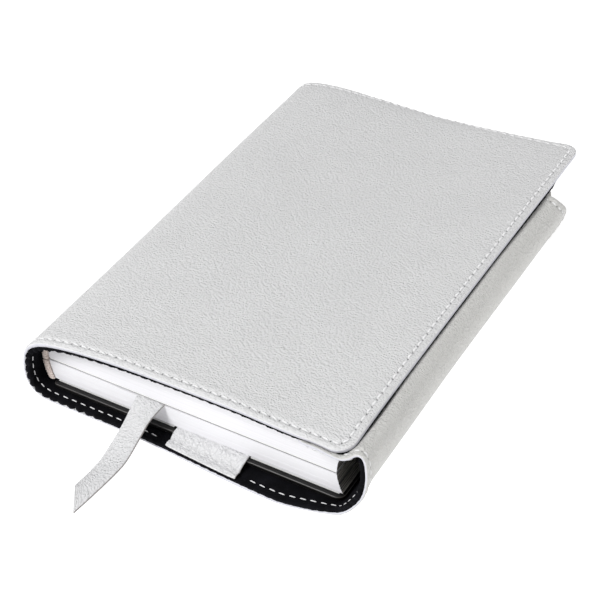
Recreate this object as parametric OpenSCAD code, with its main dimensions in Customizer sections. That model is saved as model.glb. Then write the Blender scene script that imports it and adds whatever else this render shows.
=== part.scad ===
// Small devotional book in a white leather wrap cover with a fore-edge flap.
// The book lies on its back cover: +X runs from the spine to the fore edge,
// +Y from the tail to the head, +Z up. The origin is the middle of the back
// cover's resting face.

/* [Cover] */
// Width of the front panel, from the back of the spine to the fore edge
cover_w = 118; // [112:1:124]
// Height of the cover, from tail to head
cover_h = 180; // [174:1:190]
// Thickness of the outer leather
leather_t = 1.4; // [1.0:0.1:1.5]
// Thickness of the suede lining
lining_t = 0.8; // [0.5:0.1:0.9]
// Corner radius of the front panel
corner_r = 6; // [6:1:14]
// Height of the leather's top face above the table at the fore edge
cover_top = 31; // [30.8:0.1:33]
// Radius of the two rounded corners of the spine
spine_r = 8.4; // [8:0.1:8.8]

/* [Fore-edge flap] */
// Height of the flap along the book, measured from the tail
flap_h = 154; // [130:1:180]
// How far the flap bulges past the back cover's fold
flap_bulge = 11.9; // [11.4:0.1:12.4]
// Length of the flap's tongue that is tucked in
tongue_len = 29; // [20:1:34]

/* [Book] */
// Gap from the cover's tail or head edge to the page block
page_inset = 7; // [6.6:0.1:10]
// Thickness of the two boards
board_t = 1.6; // [1.2:0.1:1.7]
// Thickness of the lower half of the page block
lower_t = 7.2; // [6:0.1:7.3]
// Thickness of the upper half of the page block
upper_t = 8.6; // [7.5:0.1:8.7]
// Thickness of one separate leaf
leaf_t = 0.2; // [0.12:0.02:0.22]

/* [Straps and ribbon] */
// Width of the two straps that hold the boards
strap_w = 26; // [20:1:30]
// Thickness of the straps
strap_t = 0.66; // [0.4:0.02:0.7]
// Width of the leather ribbon marker
ribbon_w = 10; // [6:0.5:12]
// Thickness of the ribbon marker
ribbon_t = 0.8; // [0.5:0.1:0.8]

/* [Stitching] */
// Length of one visible stitch
stitch_len = 2.4; // [1.8:0.1:3]
// Distance from one stitch to the next
stitch_pitch = 3.4; // [3:0.1:5]
// Radius of the thread
thread_r = 0.28; // [0.2:0.02:0.35]
// Distance of a stitching row from the edge
seam_inset = 2.6; // [2:0.1:4.5]

/* [Hidden] */
$fn = 48;

// Colours
leather_c = [0.84, 0.84, 0.84];
suede_c = [0.03, 0.03, 0.04];
thread_c = [0.95, 0.95, 0.95];
paper_c = [0.96, 0.96, 0.95];
board_c = [0.12, 0.12, 0.12];
cloth_c = [0.80, 0.72, 0.64];

// Heights in the closed stack, from the table up
gap = 0.1;
skin_t = leather_t + lining_t;
board_z = skin_t + 0.4;
strap_z = board_z + board_t + 0.07;
pages_z = strap_z + strap_t + 0.07;
lower_top = pages_z + lower_t;
leaf_step = leaf_t + gap;
upper_z = lower_top + 3 * leaf_step + 0.2;
upper_top = upper_z + upper_t;
flyleaf_z = upper_top + 0.08;
front_z = flyleaf_z + leaf_t + 0.17;
hinge_z = lower_top + 0.25;

// Places across the width, from the back of the spine
fold_x = cover_w - 6;
block_x0 = 5.6;
block_x1 = cover_w - 7;
cloth_t = 2;
block_r = 21;
hollow_r = 17.5;
board_x0 = 7.6;
front_board_x0 = 12;
flyleaf_x0 = 9;
board_x1 = cover_w - 4.5;
strap_x = 54;
ribbon_x = 40;
front_tilt = 2.1;

// Places along the height, from the tail edge of the cover
page_y0 = page_inset;
page_y1 = cover_h - page_inset;
board_y0 = page_inset - 1.8;
board_y1 = cover_h - board_y0;
strap_end = 0.8;
ribbon_in = 60;
ribbon_out = 40;

// Centres of the spine's rounded corners
low_corner = [spine_r + 0.5, spine_r];
top_corner = [spine_r + 0.5, 18];

// Fore-edge flap, in section
flap_rise = 21.4;
fold_r = 4.2;
wall_r = 16;
wall_lean = 27;
tongue_x1 = cover_w - 4.6;
tongue_x0 = tongue_x1 - tongue_len;
tongue_z = flyleaf_z + leaf_t + 0.1;

// Points of an elliptic arc, angles in degrees
function arc_points(c, rx, rz, a0, a1, n) =
    [for (i = [0:n]) let (a = a0 + (a1 - a0) * i / n) [c[0] + rx * cos(a), c[1] + rz * sin(a)]];

// Unit normal to the left of a path at point i
function path_normal(path, i) =
    let (a = path[max(i - 1, 0)],
         b = path[min(i + 1, len(path) - 1)],
         d = b - a,
         l = norm(d))
    [-d[1] / l, d[0] / l];

// A path moved sideways by d, to its left
function moved(path, d) = [for (i = [0:len(path) - 1]) path[i] + d * path_normal(path, i)];

function reversed(path) = [for (i = [len(path) - 1:-1:0]) path[i]];

// Height of the leather's top face over the front panel
function front_top(x) = cover_top - 4.6 * exp(-(x - low_corner[0]) / 18);
function front_slope(x) = atan(4.6 / 18 * exp(-(x - low_corner[0]) / 18));

// Outer face of each piece of the cover, in section
function front_path() =
    concat(arc_points(top_corner, spine_r, spine_r, 125, 95, 4),
           [for (x = [low_corner[0] + 3:6:40]) [x, front_top(x)]],
           [for (x = [50:(cover_w - 50) / 4:cover_w]) [x, front_top(x)]]);
function spine_path() =
    concat(arc_points(low_corner, spine_r, spine_r, 212, 180, 4),
           arc_points(top_corner, spine_r, spine_r, 180, 148, 4));
function back_path() =
    concat([[fold_x, 0], [fold_x / 2, 0], [low_corner[0] + 2, 0]],
           arc_points(low_corner, spine_r, spine_r, 270, 247, 3));
function wall_path() =
    concat([[fold_x + 0.45, 0]],
           arc_points([fold_x + 0.9, fold_r], fold_r, fold_r, -88, -wall_lean, 5),
           arc_points([fold_x + flap_bulge - wall_r, flap_rise], wall_r, wall_r, -wall_lean, 10, 8));

// Outline between two faces that lie d0 and d1 to the left of a path
module band(path, d0, d1) {
    polygon(concat(moved(path, d0), reversed(moved(path, d1))));
}

// Extrudes a section drawn in X and Z from y0 to y1
module along(y0, y1) {
    translate([0, y1, 0])
        rotate([90, 0, 0])
            linear_extrude(y1 - y0)
                children();
}

// Extrudes a section drawn in Y and Z from x0 to x1
module across(x0, x1) {
    translate([x0, 0, 0])
        rotate([90, 0, 90])
            linear_extrude(x1 - x0)
                children();
}

// Moves the section's frame to the origin at the middle of the back face
module placed() {
    translate([-cover_w / 2, -cover_h / 2, 0])
        children();
}

// Flat plate with the given plan corners and two round corners at x1
module plate_outline(x0, x1, y0, y1, r) {
    translate([x0, y0])
        square([x1 - r - x0, y1 - y0]);
    translate([x1 - r - 0.01, y0 + r])
        square([r + 0.01, y1 - y0 - 2 * r]);
    translate([x1 - r, y0 + r])
        circle(r);
    translate([x1 - r, y1 - r])
        circle(r);
}

module in_front_outline() {
    intersection() {
        linear_extrude(60)
            plate_outline(-5, cover_w, 0, cover_h, corner_r);
        children();
    }
}

// Frame of the front board, tilted up towards the fore edge
module front_frame() {
    translate([front_board_x0, 0, front_z])
        rotate([0, -front_tilt, 0])
            children();
}

// One stitch lying along X
module stitch_x() {
    rotate([0, 90, 0])
        cylinder(r = thread_r, h = stitch_len, center = true, $fn = 16);
}

// One stitch lying along Y
module stitch_y() {
    rotate([90, 0, 0])
        cylinder(r = thread_r, h = stitch_len, center = true, $fn = 16);
}

// Row of stitches along X at one height
module row_x(x0, x1, y, z) {
    for (x = [x0:stitch_pitch:x1])
        translate([x, y, z])
            stitch_x();
}

// ---- Cover ----

module back_leather() {
    color(leather_c)
        placed()
            along(0, cover_h)
                band(back_path(), 0, -leather_t);
}

module back_lining() {
    color(suede_c)
        placed()
            along(0, cover_h)
                band(back_path(), -leather_t, -skin_t);
}

module back_seam() {
    color(thread_c)
        placed() {
            for (y = [seam_inset, cover_h - seam_inset]) {
                row_x(13, strap_x - 3, y, skin_t + thread_r + 0.02);
                row_x(strap_x + strap_w + 3, fold_x - 3, y, skin_t + thread_r + 0.02);
            }
        }
}

module spine_leather() {
    color(leather_c)
        placed()
            along(0, cover_h)
                band(spine_path(), 0, -leather_t);
}

module spine_lining() {
    color(suede_c)
        placed()
            along(0, cover_h)
                band(spine_path(), -leather_t, -skin_t);
}

module front_leather() {
    color(leather_c)
        placed()
            in_front_outline()
                along(0, cover_h)
                    band(front_path(), 0, -leather_t);
}

module front_lining() {
    color(suede_c)
        placed()
            in_front_outline()
                along(0, cover_h)
                    band(front_path(), -leather_t, -skin_t);
}

module front_seam() {
    lift = thread_r + 0.05;
    color(thread_c)
        placed() {
            for (y = [seam_inset, cover_h - seam_inset])
                for (x = [14:stitch_pitch:cover_w - corner_r])
                    translate([x, y, front_top(x) + lift])
                        rotate([0, -front_slope(x), 0])
                            stitch_x();
            for (y = [corner_r:stitch_pitch:cover_h - corner_r])
                translate([cover_w - seam_inset, y, front_top(cover_w - seam_inset) + lift])
                    stitch_y();
        }
}

// ---- Straps that hold the boards ----

// Strap's middle line in Y and Z: sewn down at both ends, raised over a board's ends
function strap_path(sewn_z, raised_z) =
    let (half = [[strap_end, sewn_z],
                 [strap_end + 1.8, sewn_z],
                 [strap_end + 2.6, sewn_z + 0.3 * (raised_z - sewn_z)],
                 [board_y0 - 0.9, raised_z - 0.25 * sign(raised_z - sewn_z)],
                 [board_y0 - 0.2, raised_z]])
    concat(half, [for (i = [len(half) - 1:-1:0]) [cover_h - half[i][0], half[i][1]]]);

module back_strap() {
    sewn = skin_t + 0.05 + strap_t / 2;
    raised = strap_z + strap_t / 2;
    color(leather_c)
        placed()
            across(strap_x, strap_x + strap_w)
                band(strap_path(sewn, raised), strap_t / 2, -strap_t / 2);
}

module back_strap_seam() {
    z = skin_t + 0.05 + strap_t + thread_r + 0.02;
    color(thread_c)
        placed()
            for (y = [strap_end + 0.9, cover_h - strap_end - 0.9])
                row_x(strap_x + 2, strap_x + strap_w - 2, y, z);
}

module front_strap() {
    sewn = 3.5 - strap_t / 2;
    raised = -0.07 - strap_t / 2;
    x0 = strap_x - front_board_x0;
    color(leather_c)
        placed()
            front_frame()
                across(x0, x0 + strap_w)
                    band(strap_path(sewn, raised), strap_t / 2, -strap_t / 2);
}

// ---- Fore-edge flap ----

// Tongue's lower face, from the flap's peak down over the board's level and in
function tongue_path() =
    [[tongue_x0, tongue_z],
     [tongue_x1 - 4, tongue_z + 0.85],
     [tongue_x1, tongue_z + 1.05],
     [tongue_x1 + 3.4, tongue_z + 2.4],
     [tongue_x1 + 6.4, tongue_z + 4.2]];

module flap_wall_leather() {
    color(leather_c)
        placed()
            along(0, flap_h)
                band(wall_path(), 0, leather_t);
}

module flap_wall_lining() {
    color(suede_c)
        placed()
            along(0, flap_h)
                band(wall_path(), leather_t, skin_t);
}

module flap_tongue_leather() {
    color(leather_c)
        placed()
            along(0, flap_h)
                band(tongue_path(), lining_t, skin_t);
}

module flap_tongue_lining() {
    color(suede_c)
        placed()
            along(0, flap_h)
                band(tongue_path(), 0, lining_t);
}

// The flap's stitches are pressed flat under the front board
module flap_seam() {
    flat = 0.7;
    z = tongue_z + skin_t + flat * thread_r + 0.04;
    color(thread_c)
        placed()
            for (y = [2, flap_h - 2])
                for (x = [tongue_x0 + 3:stitch_pitch:tongue_x1 - 5])
                    translate([x, y, z + 0.0345 * (x - tongue_x0)])
                        rotate([0, -1.95, 0])
                            scale([1, 1, flat])
                                stitch_x();
}

// ---- Book ----

module back_board() {
    color(board_c)
        placed()
            translate([0, 0, board_z])
                linear_extrude(board_t)
                    plate_outline(board_x0, board_x1, board_y0, board_y1, 3);
}

module front_board() {
    w = board_x1 - front_board_x0;
    color(board_c)
        placed()
            front_frame()
                linear_extrude(board_t)
                    plate_outline(0, w, board_y0, board_y1, 3);
}

module back_endpaper() {
    color(paper_c)
        placed()
            for (x = [[board_x0 + 1, strap_x - 1], [strap_x + strap_w + 1, block_x1 + 1]])
                translate([x[0], page_y0, board_z + board_t + 0.05])
                    cube([x[1] - x[0], page_y1 - page_y0, 0.2]);
}

// Outline of the whole page block in X and Z: round spine, hollow fore edge
module block_section(z0, z1) {
    mid = (pages_z + upper_top) / 2;
    difference() {
        intersection() {
            translate([0, z0])
                square([cover_w, z1 - z0]);
            union() {
                translate([block_x0 + block_r, mid])
                    circle(block_r, $fn = 96);
                translate([block_x0 + block_r, z0])
                    square([block_x1 + 4 - block_x0 - block_r, z1 - z0]);
            }
        }
        translate([block_x1 + hollow_r, mid])
            circle(hollow_r, $fn = 96);
    }
}

// Cloth that lines the book's spine, between two heights
module cloth_section(z0, z1) {
    mid = (pages_z + upper_top) / 2;
    intersection() {
        translate([0, z0])
            square([12, z1 - z0]);
        difference() {
            translate([block_x0 + block_r, mid])
                circle(block_r + cloth_t, $fn = 96);
            translate([block_x0 + block_r, mid])
                circle(block_r + gap, $fn = 96);
        }
    }
}

// Ribbed band at the tail and the head of the spine, between two heights
module band_pair(z0, z1) {
    mid = (pages_z + upper_top) / 2;
    for (y = [page_y0 - 1, page_y1 + 0.1])
        along(y, y + 0.9)
            intersection() {
                translate([0, z0])
                    square([12, z1 - z0]);
                difference() {
                    translate([block_x0 + block_r, mid])
                        circle(block_r + cloth_t - 0.2, $fn = 96);
                    translate([block_x0 + block_r, mid])
                        circle(block_r - 1.6, $fn = 96);
                }
            }
}

module lower_pages() {
    color(paper_c)
        placed()
            difference() {
                along(page_y0, page_y1)
                    block_section(pages_z, lower_top);
                translate([ribbon_x - 0.3, page_y0 - 1, lower_top - ribbon_t - gap])
                    cube([ribbon_w + 0.6, ribbon_in + 1.5, ribbon_t + 1]);
            }
}

module upper_pages() {
    color(paper_c)
        placed()
            along(page_y0, page_y1)
                block_section(upper_z, upper_top);
}

module lower_spine_cloth() {
    color(cloth_c)
        placed()
            along(page_y0, page_y1)
                cloth_section(pages_z, lower_top);
}

module upper_spine_cloth() {
    color(cloth_c)
        placed()
            along(page_y0, page_y1)
                cloth_section(hinge_z + 0.25, upper_top);
}

module lower_bands() {
    color(cloth_c)
        placed()
            band_pair(pages_z, lower_top);
}

module upper_bands() {
    color(cloth_c)
        placed()
            band_pair(hinge_z + 0.25, upper_top);
}

// One separate leaf, the n-th above the lower half
module leaf(n) {
    color(paper_c)
        placed()
            translate([block_x0 + 0.6, page_y0, lower_top + gap + (n - 1) * leaf_step])
                cube([block_x1 - block_x0 - 0.8, page_y1 - page_y0, leaf_t]);
}

module leaf_1() {
    leaf(1);
}

module leaf_2() {
    leaf(2);
}

module leaf_3() {
    leaf(3);
}

module flyleaf() {
    color(paper_c)
        placed()
            translate([flyleaf_x0, page_y0, flyleaf_z])
                cube([block_x1 - flyleaf_x0, page_y1 - page_y0, leaf_t]);
}

// ---- Ribbon marker ----

module ribbon_inner() {
    color(leather_c)
        placed()
            translate([ribbon_x, page_y0, lower_top - ribbon_t - gap / 2])
                cube([ribbon_w, ribbon_in, ribbon_t]);
}

// Free end: out of the pages, over the cover's tail edge and down to the table
function ribbon_path() =
    let (top = lower_top - ribbon_t / 2 - gap / 2,
         low = ribbon_t / 2 + 0.02,
         steps = 12)
    [for (i = [0:steps])
        let (t = i / steps)
        [page_y0 - 0.1 - ribbon_out * t, low + (top - low) * (1 + cos(180 * pow(t, 0.8))) / 2]];

module ribbon_tail() {
    color(leather_c)
        placed()
            across(ribbon_x, ribbon_x + ribbon_w)
                band(ribbon_path(), ribbon_t / 2, -ribbon_t / 2);
}

back_leather();
back_lining();
back_seam();
back_strap();
back_strap_seam();
back_board();
back_endpaper();
lower_pages();
lower_spine_cloth();
lower_bands();
ribbon_inner();
ribbon_tail();
spine_leather();
spine_lining();
front_leather();
front_lining();
front_seam();
front_strap();
front_board();
upper_pages();
upper_spine_cloth();
upper_bands();
leaf_1();
leaf_2();
leaf_3();
flyleaf();
flap_wall_leather();
flap_wall_lining();
flap_tongue_leather();
flap_tongue_lining();
flap_seam();
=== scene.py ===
import math

import bmesh
import bpy
import numpy as np
from mathutils import Matrix, Vector


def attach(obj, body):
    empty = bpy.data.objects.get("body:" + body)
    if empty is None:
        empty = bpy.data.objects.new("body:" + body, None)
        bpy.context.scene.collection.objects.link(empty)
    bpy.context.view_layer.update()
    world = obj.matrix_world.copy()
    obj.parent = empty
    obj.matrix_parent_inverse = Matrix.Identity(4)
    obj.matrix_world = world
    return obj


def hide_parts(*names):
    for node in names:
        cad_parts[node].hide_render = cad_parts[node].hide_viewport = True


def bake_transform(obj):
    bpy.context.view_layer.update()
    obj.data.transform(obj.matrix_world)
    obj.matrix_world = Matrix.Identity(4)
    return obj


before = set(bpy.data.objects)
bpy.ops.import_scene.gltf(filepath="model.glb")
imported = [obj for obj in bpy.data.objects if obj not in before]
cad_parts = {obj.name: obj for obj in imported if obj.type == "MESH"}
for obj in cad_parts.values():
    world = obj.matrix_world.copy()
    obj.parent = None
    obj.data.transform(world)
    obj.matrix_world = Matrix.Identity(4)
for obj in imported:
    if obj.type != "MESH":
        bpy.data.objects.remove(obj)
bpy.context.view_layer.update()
MM = 0.001

# Book frame in millimetres: x from the spine's back, y from the tail edge, z up from the table.
W, H = 118.0, 180.0
# Thickness of the leather, and of the leather and its lining together.
LEATHER, SKIN = 1.4, 2.2
# Distance between needle holes, length of a stitch, and the seam's distance from the cut edge.
PITCH, STITCH, SEAM = 3.4, 2.35, 2.6


def row(p):
    """Book frame in mm to the row frame in metres."""
    return (np.asarray(p, float) - [W / 2, H / 2, 0]) * MM


def smooth(x, a, b):
    """0 below a, 1 above b and a smooth step between."""
    t = np.clip((np.asarray(x, float) - a) / (b - a), 0, 1)
    return t * t * (3 - 2 * t)


def bump(x, c, w):
    """A bell around c, 1 at its top."""
    return np.exp(-(((np.asarray(x, float) - c) / w) ** 2))


def unit(v):
    """The same directions with length 1."""
    return v / np.linalg.norm(v, axis=-1, keepdims=True)


def lengths(p):
    """Length along a line of points, at each of them."""
    return np.concatenate([[0], np.cumsum(np.linalg.norm(np.diff(p, axis=0), axis=1))])


def wobble(x, seed=0.0):
    """Smooth repeatable wobble, about -1 to 1."""
    x = np.asarray(x, float)
    slow = np.sin(x * 1.0 + seed)
    middle = 0.6 * np.sin(x * 2.37 + 1.7 * seed + 1)
    quick = 0.4 * np.sin(x * 5.1 + 2.3 * seed + 2)
    return (slow + middle + quick) / 2


# ---------------------------------------------------------------- camera and light
scene = bpy.context.scene
scene.view_settings.view_transform = "Standard"


def camera():
    data = bpy.data.cameras.new("Camera")
    data.sensor_width = 36
    data.lens = 96
    data.clip_start, data.clip_end = 0.01, 20
    cam = bpy.data.objects.new("Camera", data)
    scene.collection.objects.link(cam)
    azimuth, elevation, distance = 0.512, 0.68642, 0.5216
    aim = np.array([0.00929, -0.02931, 0.02375])
    level = math.cos(elevation)
    back = np.array([math.sin(azimuth) * level, -math.cos(azimuth) * level, math.sin(elevation)])
    right = np.array([math.cos(azimuth), math.sin(azimuth), 0])
    m = np.eye(4)
    m[:3, 0] = right
    m[:3, 1] = np.cross(back, right)
    m[:3, 2] = back
    m[:3, 3] = aim + back * distance
    cam.matrix_world = Matrix(m.tolist())
    scene.camera = cam


def area_light(name, loc, target, size, power, color=(1, 1, 1)):
    data = bpy.data.lights.new(name, "AREA")
    data.shape = "RECTANGLE"
    data.size, data.size_y = size
    data.energy = power
    data.color = color
    o = bpy.data.objects.new(name, data)
    scene.collection.objects.link(o)
    o.location = loc
    o.rotation_euler = (Vector(target) - Vector(loc)).to_track_quat("-Z", "Y").to_euler()


def lights():
    world = bpy.data.worlds.new("World")
    scene.world = world
    world.use_nodes = True
    bg = world.node_tree.nodes["Background"]
    bg.inputs[0].default_value = (1, 1, 1, 1)
    bg.inputs[1].default_value = 0.46
    area_light("Key", (-0.50, -1.05, 1.15), (0, 0, 0.02), (0.5, 0.5), 19.0)
    area_light("Side", (1.2, 0.1, 0.7), (0, 0, 0.02), (0.6, 0.6), 4.1)


# ---------------------------------------------------------------- materials
def material(name, base, rough=0.5, spec=0.5, sheen=0.0):
    m = bpy.data.materials.new(name)
    m.use_nodes = True
    p = m.node_tree.nodes["Principled BSDF"]
    p.inputs["Base Color"].default_value = (*base, 1)
    p.inputs["Roughness"].default_value = rough
    p.inputs["Specular IOR Level"].default_value = spec
    if sheen:
        p.inputs["Sheen Weight"].default_value = sheen
        p.inputs["Sheen Roughness"].default_value = 0.5
    return m, m.node_tree, p


def coordinates(nt, source="UV", scale=(1000, 1000, 1000)):
    """Texture coordinates; the usual scale turns them into millimetres."""
    tc = nt.nodes.new("ShaderNodeTexCoord")
    mp = nt.nodes.new("ShaderNodeMapping")
    mp.inputs["Scale"].default_value = scale
    nt.links.new(tc.outputs[source], mp.inputs["Vector"])
    return mp.outputs["Vector"]


def texture(nt, kind, vector, **values):
    """A texture node that reads the given coordinates, with its inputs set by name."""
    n = nt.nodes.new("ShaderNodeTex" + kind)
    for name, value in values.items():
        n.inputs[name].default_value = value
    nt.links.new(vector, n.inputs["Vector"])
    return n


def mix_color(nt, fac, a, b):
    """A mix of two colours, each a tuple or another node's output."""
    n = nt.nodes.new("ShaderNodeMix")
    n.data_type = "RGBA"
    nt.links.new(fac, n.inputs["Factor"])
    for socket, value in ((n.inputs[6], a), (n.inputs[7], b)):
        if isinstance(value, tuple):
            socket.default_value = (*value, 1)
        else:
            nt.links.new(value, socket)
    return n.outputs[2]


def ramp(nt, fac, lo, hi):
    """0 below lo, 1 above hi and a smooth step between."""
    n = nt.nodes.new("ShaderNodeMapRange")
    n.interpolation_type = "SMOOTHSTEP"
    n.inputs["From Min"].default_value = lo
    n.inputs["From Max"].default_value = hi
    nt.links.new(fac, n.inputs["Value"])
    return n.outputs["Result"]


def bumped(nt, p, height, strength, distance):
    """Gives a material its relief from a height output."""
    n = nt.nodes.new("ShaderNodeBump")
    n.inputs["Strength"].default_value = strength
    n.inputs["Distance"].default_value = distance
    nt.links.new(height, n.inputs["Height"])
    nt.links.new(n.outputs["Normal"], p.inputs["Normal"])


def leather(name, base, dark, grain=1.0, rough=0.5, strength=0.9):
    """Pebbled leather: small cells whose rows lean one way, soft creases and slight colour changes."""
    m, nt, p = material(name, base, rough, 0.45)
    v = coordinates(nt)
    # the relief: cells on coordinates that are bent a little and stretched at a slant
    warp = texture(nt, "Noise", v, Scale=0.55, Detail=2.0)
    bent = nt.nodes.new("ShaderNodeVectorMath")
    bent.operation = "MULTIPLY_ADD"
    bent.inputs[1].default_value = (0.9, 0.9, 0)
    nt.links.new(warp.outputs["Color"], bent.inputs[0])
    nt.links.new(v, bent.inputs[2])
    stretch = nt.nodes.new("ShaderNodeMapping")
    stretch.inputs["Rotation"].default_value = (0, 0, 0.5)
    stretch.inputs["Scale"].default_value = (1.0 * grain, 1.45 * grain, 1)
    nt.links.new(bent.outputs[0], stretch.inputs["Vector"])
    cells = texture(nt, "Voronoi", stretch.outputs[0], Scale=1.15)
    fine = texture(nt, "Noise", v, Scale=3.0 * grain, Detail=3.0, Roughness=0.6)
    relief = nt.nodes.new("ShaderNodeMath")
    relief.operation = "MULTIPLY_ADD"
    relief.inputs[1].default_value = -1.0
    nt.links.new(cells.outputs["Distance"], relief.inputs[0])
    nt.links.new(fine.outputs["Fac"], relief.inputs[2])
    bumped(nt, p, relief.outputs[0], strength, 0.0005)
    # the colour: broad patches, darker between the pebbles, and near black in the needle holes as their
    # painted shadow
    patch = texture(nt, "Noise", v, Scale=0.045, Detail=3.0)
    patches = ramp(nt, patch.outputs["Fac"], 0.3, 0.7)
    light = mix_color(nt, patches, base, tuple(c * 0.965 for c in base))
    grained = mix_color(nt, ramp(nt, cells.outputs["Distance"], 0.35, 0.85), light, dark)
    # painted shadow: the needle holes are coloured near black, as the shade inside them
    hole_shadow = nt.nodes.new("ShaderNodeAttribute")
    hole_shadow.attribute_name = "needle_hole_shadow"
    holes = ramp(nt, hole_shadow.outputs["Fac"], 0.35, 0.9)
    nt.links.new(mix_color(nt, holes, grained, (0.10, 0.10, 0.11)), p.inputs["Base Color"])
    polish = nt.nodes.new("ShaderNodeMapRange")
    polish.inputs["To Min"].default_value = rough - 0.06
    polish.inputs["To Max"].default_value = rough + 0.12
    nt.links.new(cells.outputs["Distance"], polish.inputs["Value"])
    nt.links.new(polish.outputs["Result"], p.inputs["Roughness"])
    return m


def suede(name):
    """Black suede with a fine nap."""
    m, nt, p = material(name, (0.003, 0.003, 0.004), 0.95, 0.05, 0.04)
    p.inputs["Sheen Roughness"].default_value = 0.35
    p.inputs["Sheen Tint"].default_value = (0.35, 0.37, 0.45, 1)
    v = coordinates(nt)
    nap = texture(nt, "Noise", v, Scale=2.6, Detail=4.0, Roughness=0.7)
    broad = texture(nt, "Noise", v, Scale=0.18, Detail=2.0)
    patches = ramp(nt, broad.outputs["Fac"], 0.3, 0.75)
    col = mix_color(nt, patches, (0.0035, 0.0035, 0.0042), (0.007, 0.007, 0.009))
    nt.links.new(col, p.inputs["Base Color"])
    bumped(nt, p, nap.outputs["Fac"], 0.6, 0.00025)
    return m


def thread(name):
    """White thread with a slanting twist."""
    m, nt, p = material(name, (0.86, 0.86, 0.86), 0.55, 0.4, 0.15)
    twist = texture(nt, "Wave", coordinates(nt), Scale=1.1, Distortion=0.3)
    twist.bands_direction = "DIAGONAL"
    bumped(nt, p, twist.outputs["Fac"], 0.5, 0.0001)
    col = mix_color(nt, twist.outputs["Fac"], (0.74, 0.74, 0.75), (0.9, 0.9, 0.9))
    nt.links.new(col, p.inputs["Base Color"])
    return m


def paper(name, base=(0.80, 0.795, 0.82), lines=True, line=(0.765, 0.76, 0.785)):
    """Page edges, with fine darker lines that follow the leaves, or a plain mottled face."""
    m, nt, p = material(name, base, 0.8, 0.2)
    v = coordinates(nt, "Object", (6, 6, 5200) if lines else (900, 900, 900))
    streaks = texture(nt, "Noise", v, Scale=1.0, Detail=3.0, Roughness=0.65)
    low = line if lines else tuple(c * 0.96 for c in base)
    col = mix_color(nt, ramp(nt, streaks.outputs["Fac"], 0.36, 0.6), low, base)
    nt.links.new(col, p.inputs["Base Color"])
    bumped(nt, p, streaks.outputs["Fac"], 0.35 if lines else 0.15, 0.00008)
    return m


def board_cover(name):
    """Dark leatherette on the boards, a little uneven in colour."""
    m, nt, p = material(name, (0.008, 0.008, 0.008), 0.42, 0.4)
    v = coordinates(nt, "Object")
    grain = texture(nt, "Voronoi", v, Scale=2.2)
    broad = texture(nt, "Noise", v, Scale=0.35, Detail=3.0)
    bumped(nt, p, grain.outputs["Distance"], 0.3, 0.0001)
    patches = ramp(nt, broad.outputs["Fac"], 0.35, 0.7)
    col = mix_color(nt, patches, (0.003, 0.0028, 0.0028), (0.007, 0.0063, 0.006))
    nt.links.new(col, p.inputs["Base Color"])
    return m


def cloth(name):
    """Brownish pink cloth with fine ribs."""
    m, nt, p = material(name, (0.60, 0.47, 0.41), 0.85, 0.2, 0.3)
    v = coordinates(nt, "Object")
    ribs = texture(nt, "Wave", v, Scale=0.9, Distortion=1.0)
    ribs.bands_direction = "Z"
    broad = texture(nt, "Noise", v, Scale=1.5, Detail=3.0)
    patches = ramp(nt, broad.outputs["Fac"], 0.3, 0.7)
    col = mix_color(nt, patches, (0.56, 0.45, 0.40), (0.80, 0.71, 0.66))
    nt.links.new(col, p.inputs["Base Color"])
    bumped(nt, p, ribs.outputs["Fac"], 0.4, 0.0002)
    return m


MAT = {}


def materials():
    MAT["leather"] = leather("WhiteLeather", (0.80, 0.80, 0.805), (0.75, 0.75, 0.755))
    # the flap is the same white leather, given a darker, warmer copy: painted shade for its wall, which
    # faces away from the key light
    MAT["flap"] = leather("FlapLeatherShaded", (0.70, 0.695, 0.675), (0.65, 0.645, 0.625), 1.1)
    MAT["ribbon"] = leather("RibbonLeather", (0.83, 0.83, 0.84), (0.73, 0.73, 0.74), 0.9, 0.55, 1.0)
    MAT["cut_edge"] = paper("CutLeatherEdge", (0.62, 0.62, 0.67), False)
    MAT["strip_edge"] = paper("CutStripEdge", (0.30, 0.28, 0.27), False)
    MAT["leaf_edge"] = paper("ShadedLeafEdge", (0.16, 0.155, 0.16), False)
    # the fore edge's paper, darker and with near-black lines: painted shade for the hollow fore edge inside
    # the flap
    MAT["fore_edge"] = paper("ForeEdgePaintedShade", (0.52, 0.50, 0.46), True, (0.12, 0.115, 0.11))
    # a lighter board colour painted along the boards' top rim as a highlight
    MAT["worn_edge"] = material("BoardRimPaintedHighlight", (0.05, 0.047, 0.045), 0.35, 0.5)[0]
    MAT["suede"] = suede("BlackSuede")
    MAT["thread"] = thread("WhiteThread")
    MAT["paper"] = paper("PageEdges")
    MAT["leaf"] = paper("Leaf", (0.80, 0.80, 0.80), False)
    MAT["board"] = board_cover("BlackBoard")
    MAT["cloth"] = cloth("SpineCloth")


# ---------------------------------------------------------------- mesh helpers
def mesh_object(name, verts, faces, mat, uv=None, sharp=None, smooth_all=True):
    me = bpy.data.meshes.new(name)
    points = [tuple(v) for v in np.asarray(verts, float)]
    me.from_pydata(points, [], [tuple(int(i) for i in f) for f in faces])
    me.validate()
    if uv is not None:
        layer = me.uv_layers.new(name="UVMap")
        idx = np.empty(len(me.loops), np.int32)
        me.loops.foreach_get("vertex_index", idx)
        layer.data.foreach_set("uv", np.asarray(uv, float)[idx].astype(np.float32).ravel())
    if smooth_all:
        me.polygons.foreach_set("use_smooth", [True] * len(me.polygons))
    if sharp:
        for e in me.edges:
            if frozenset(e.vertices) in sharp:
                e.use_edge_sharp = True
    me.materials.append(mat)
    o = bpy.data.objects.new(name, me)
    scene.collection.objects.link(o)
    return o


def finish_mesh(o):
    """Merges doubles and points the normals outwards."""
    bm = bmesh.new()
    bm.from_mesh(o.data)
    bmesh.ops.remove_doubles(bm, verts=bm.verts, dist=1e-8)
    bmesh.ops.recalc_face_normals(bm, faces=bm.faces)
    bm.to_mesh(o.data)
    bm.free()


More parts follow.
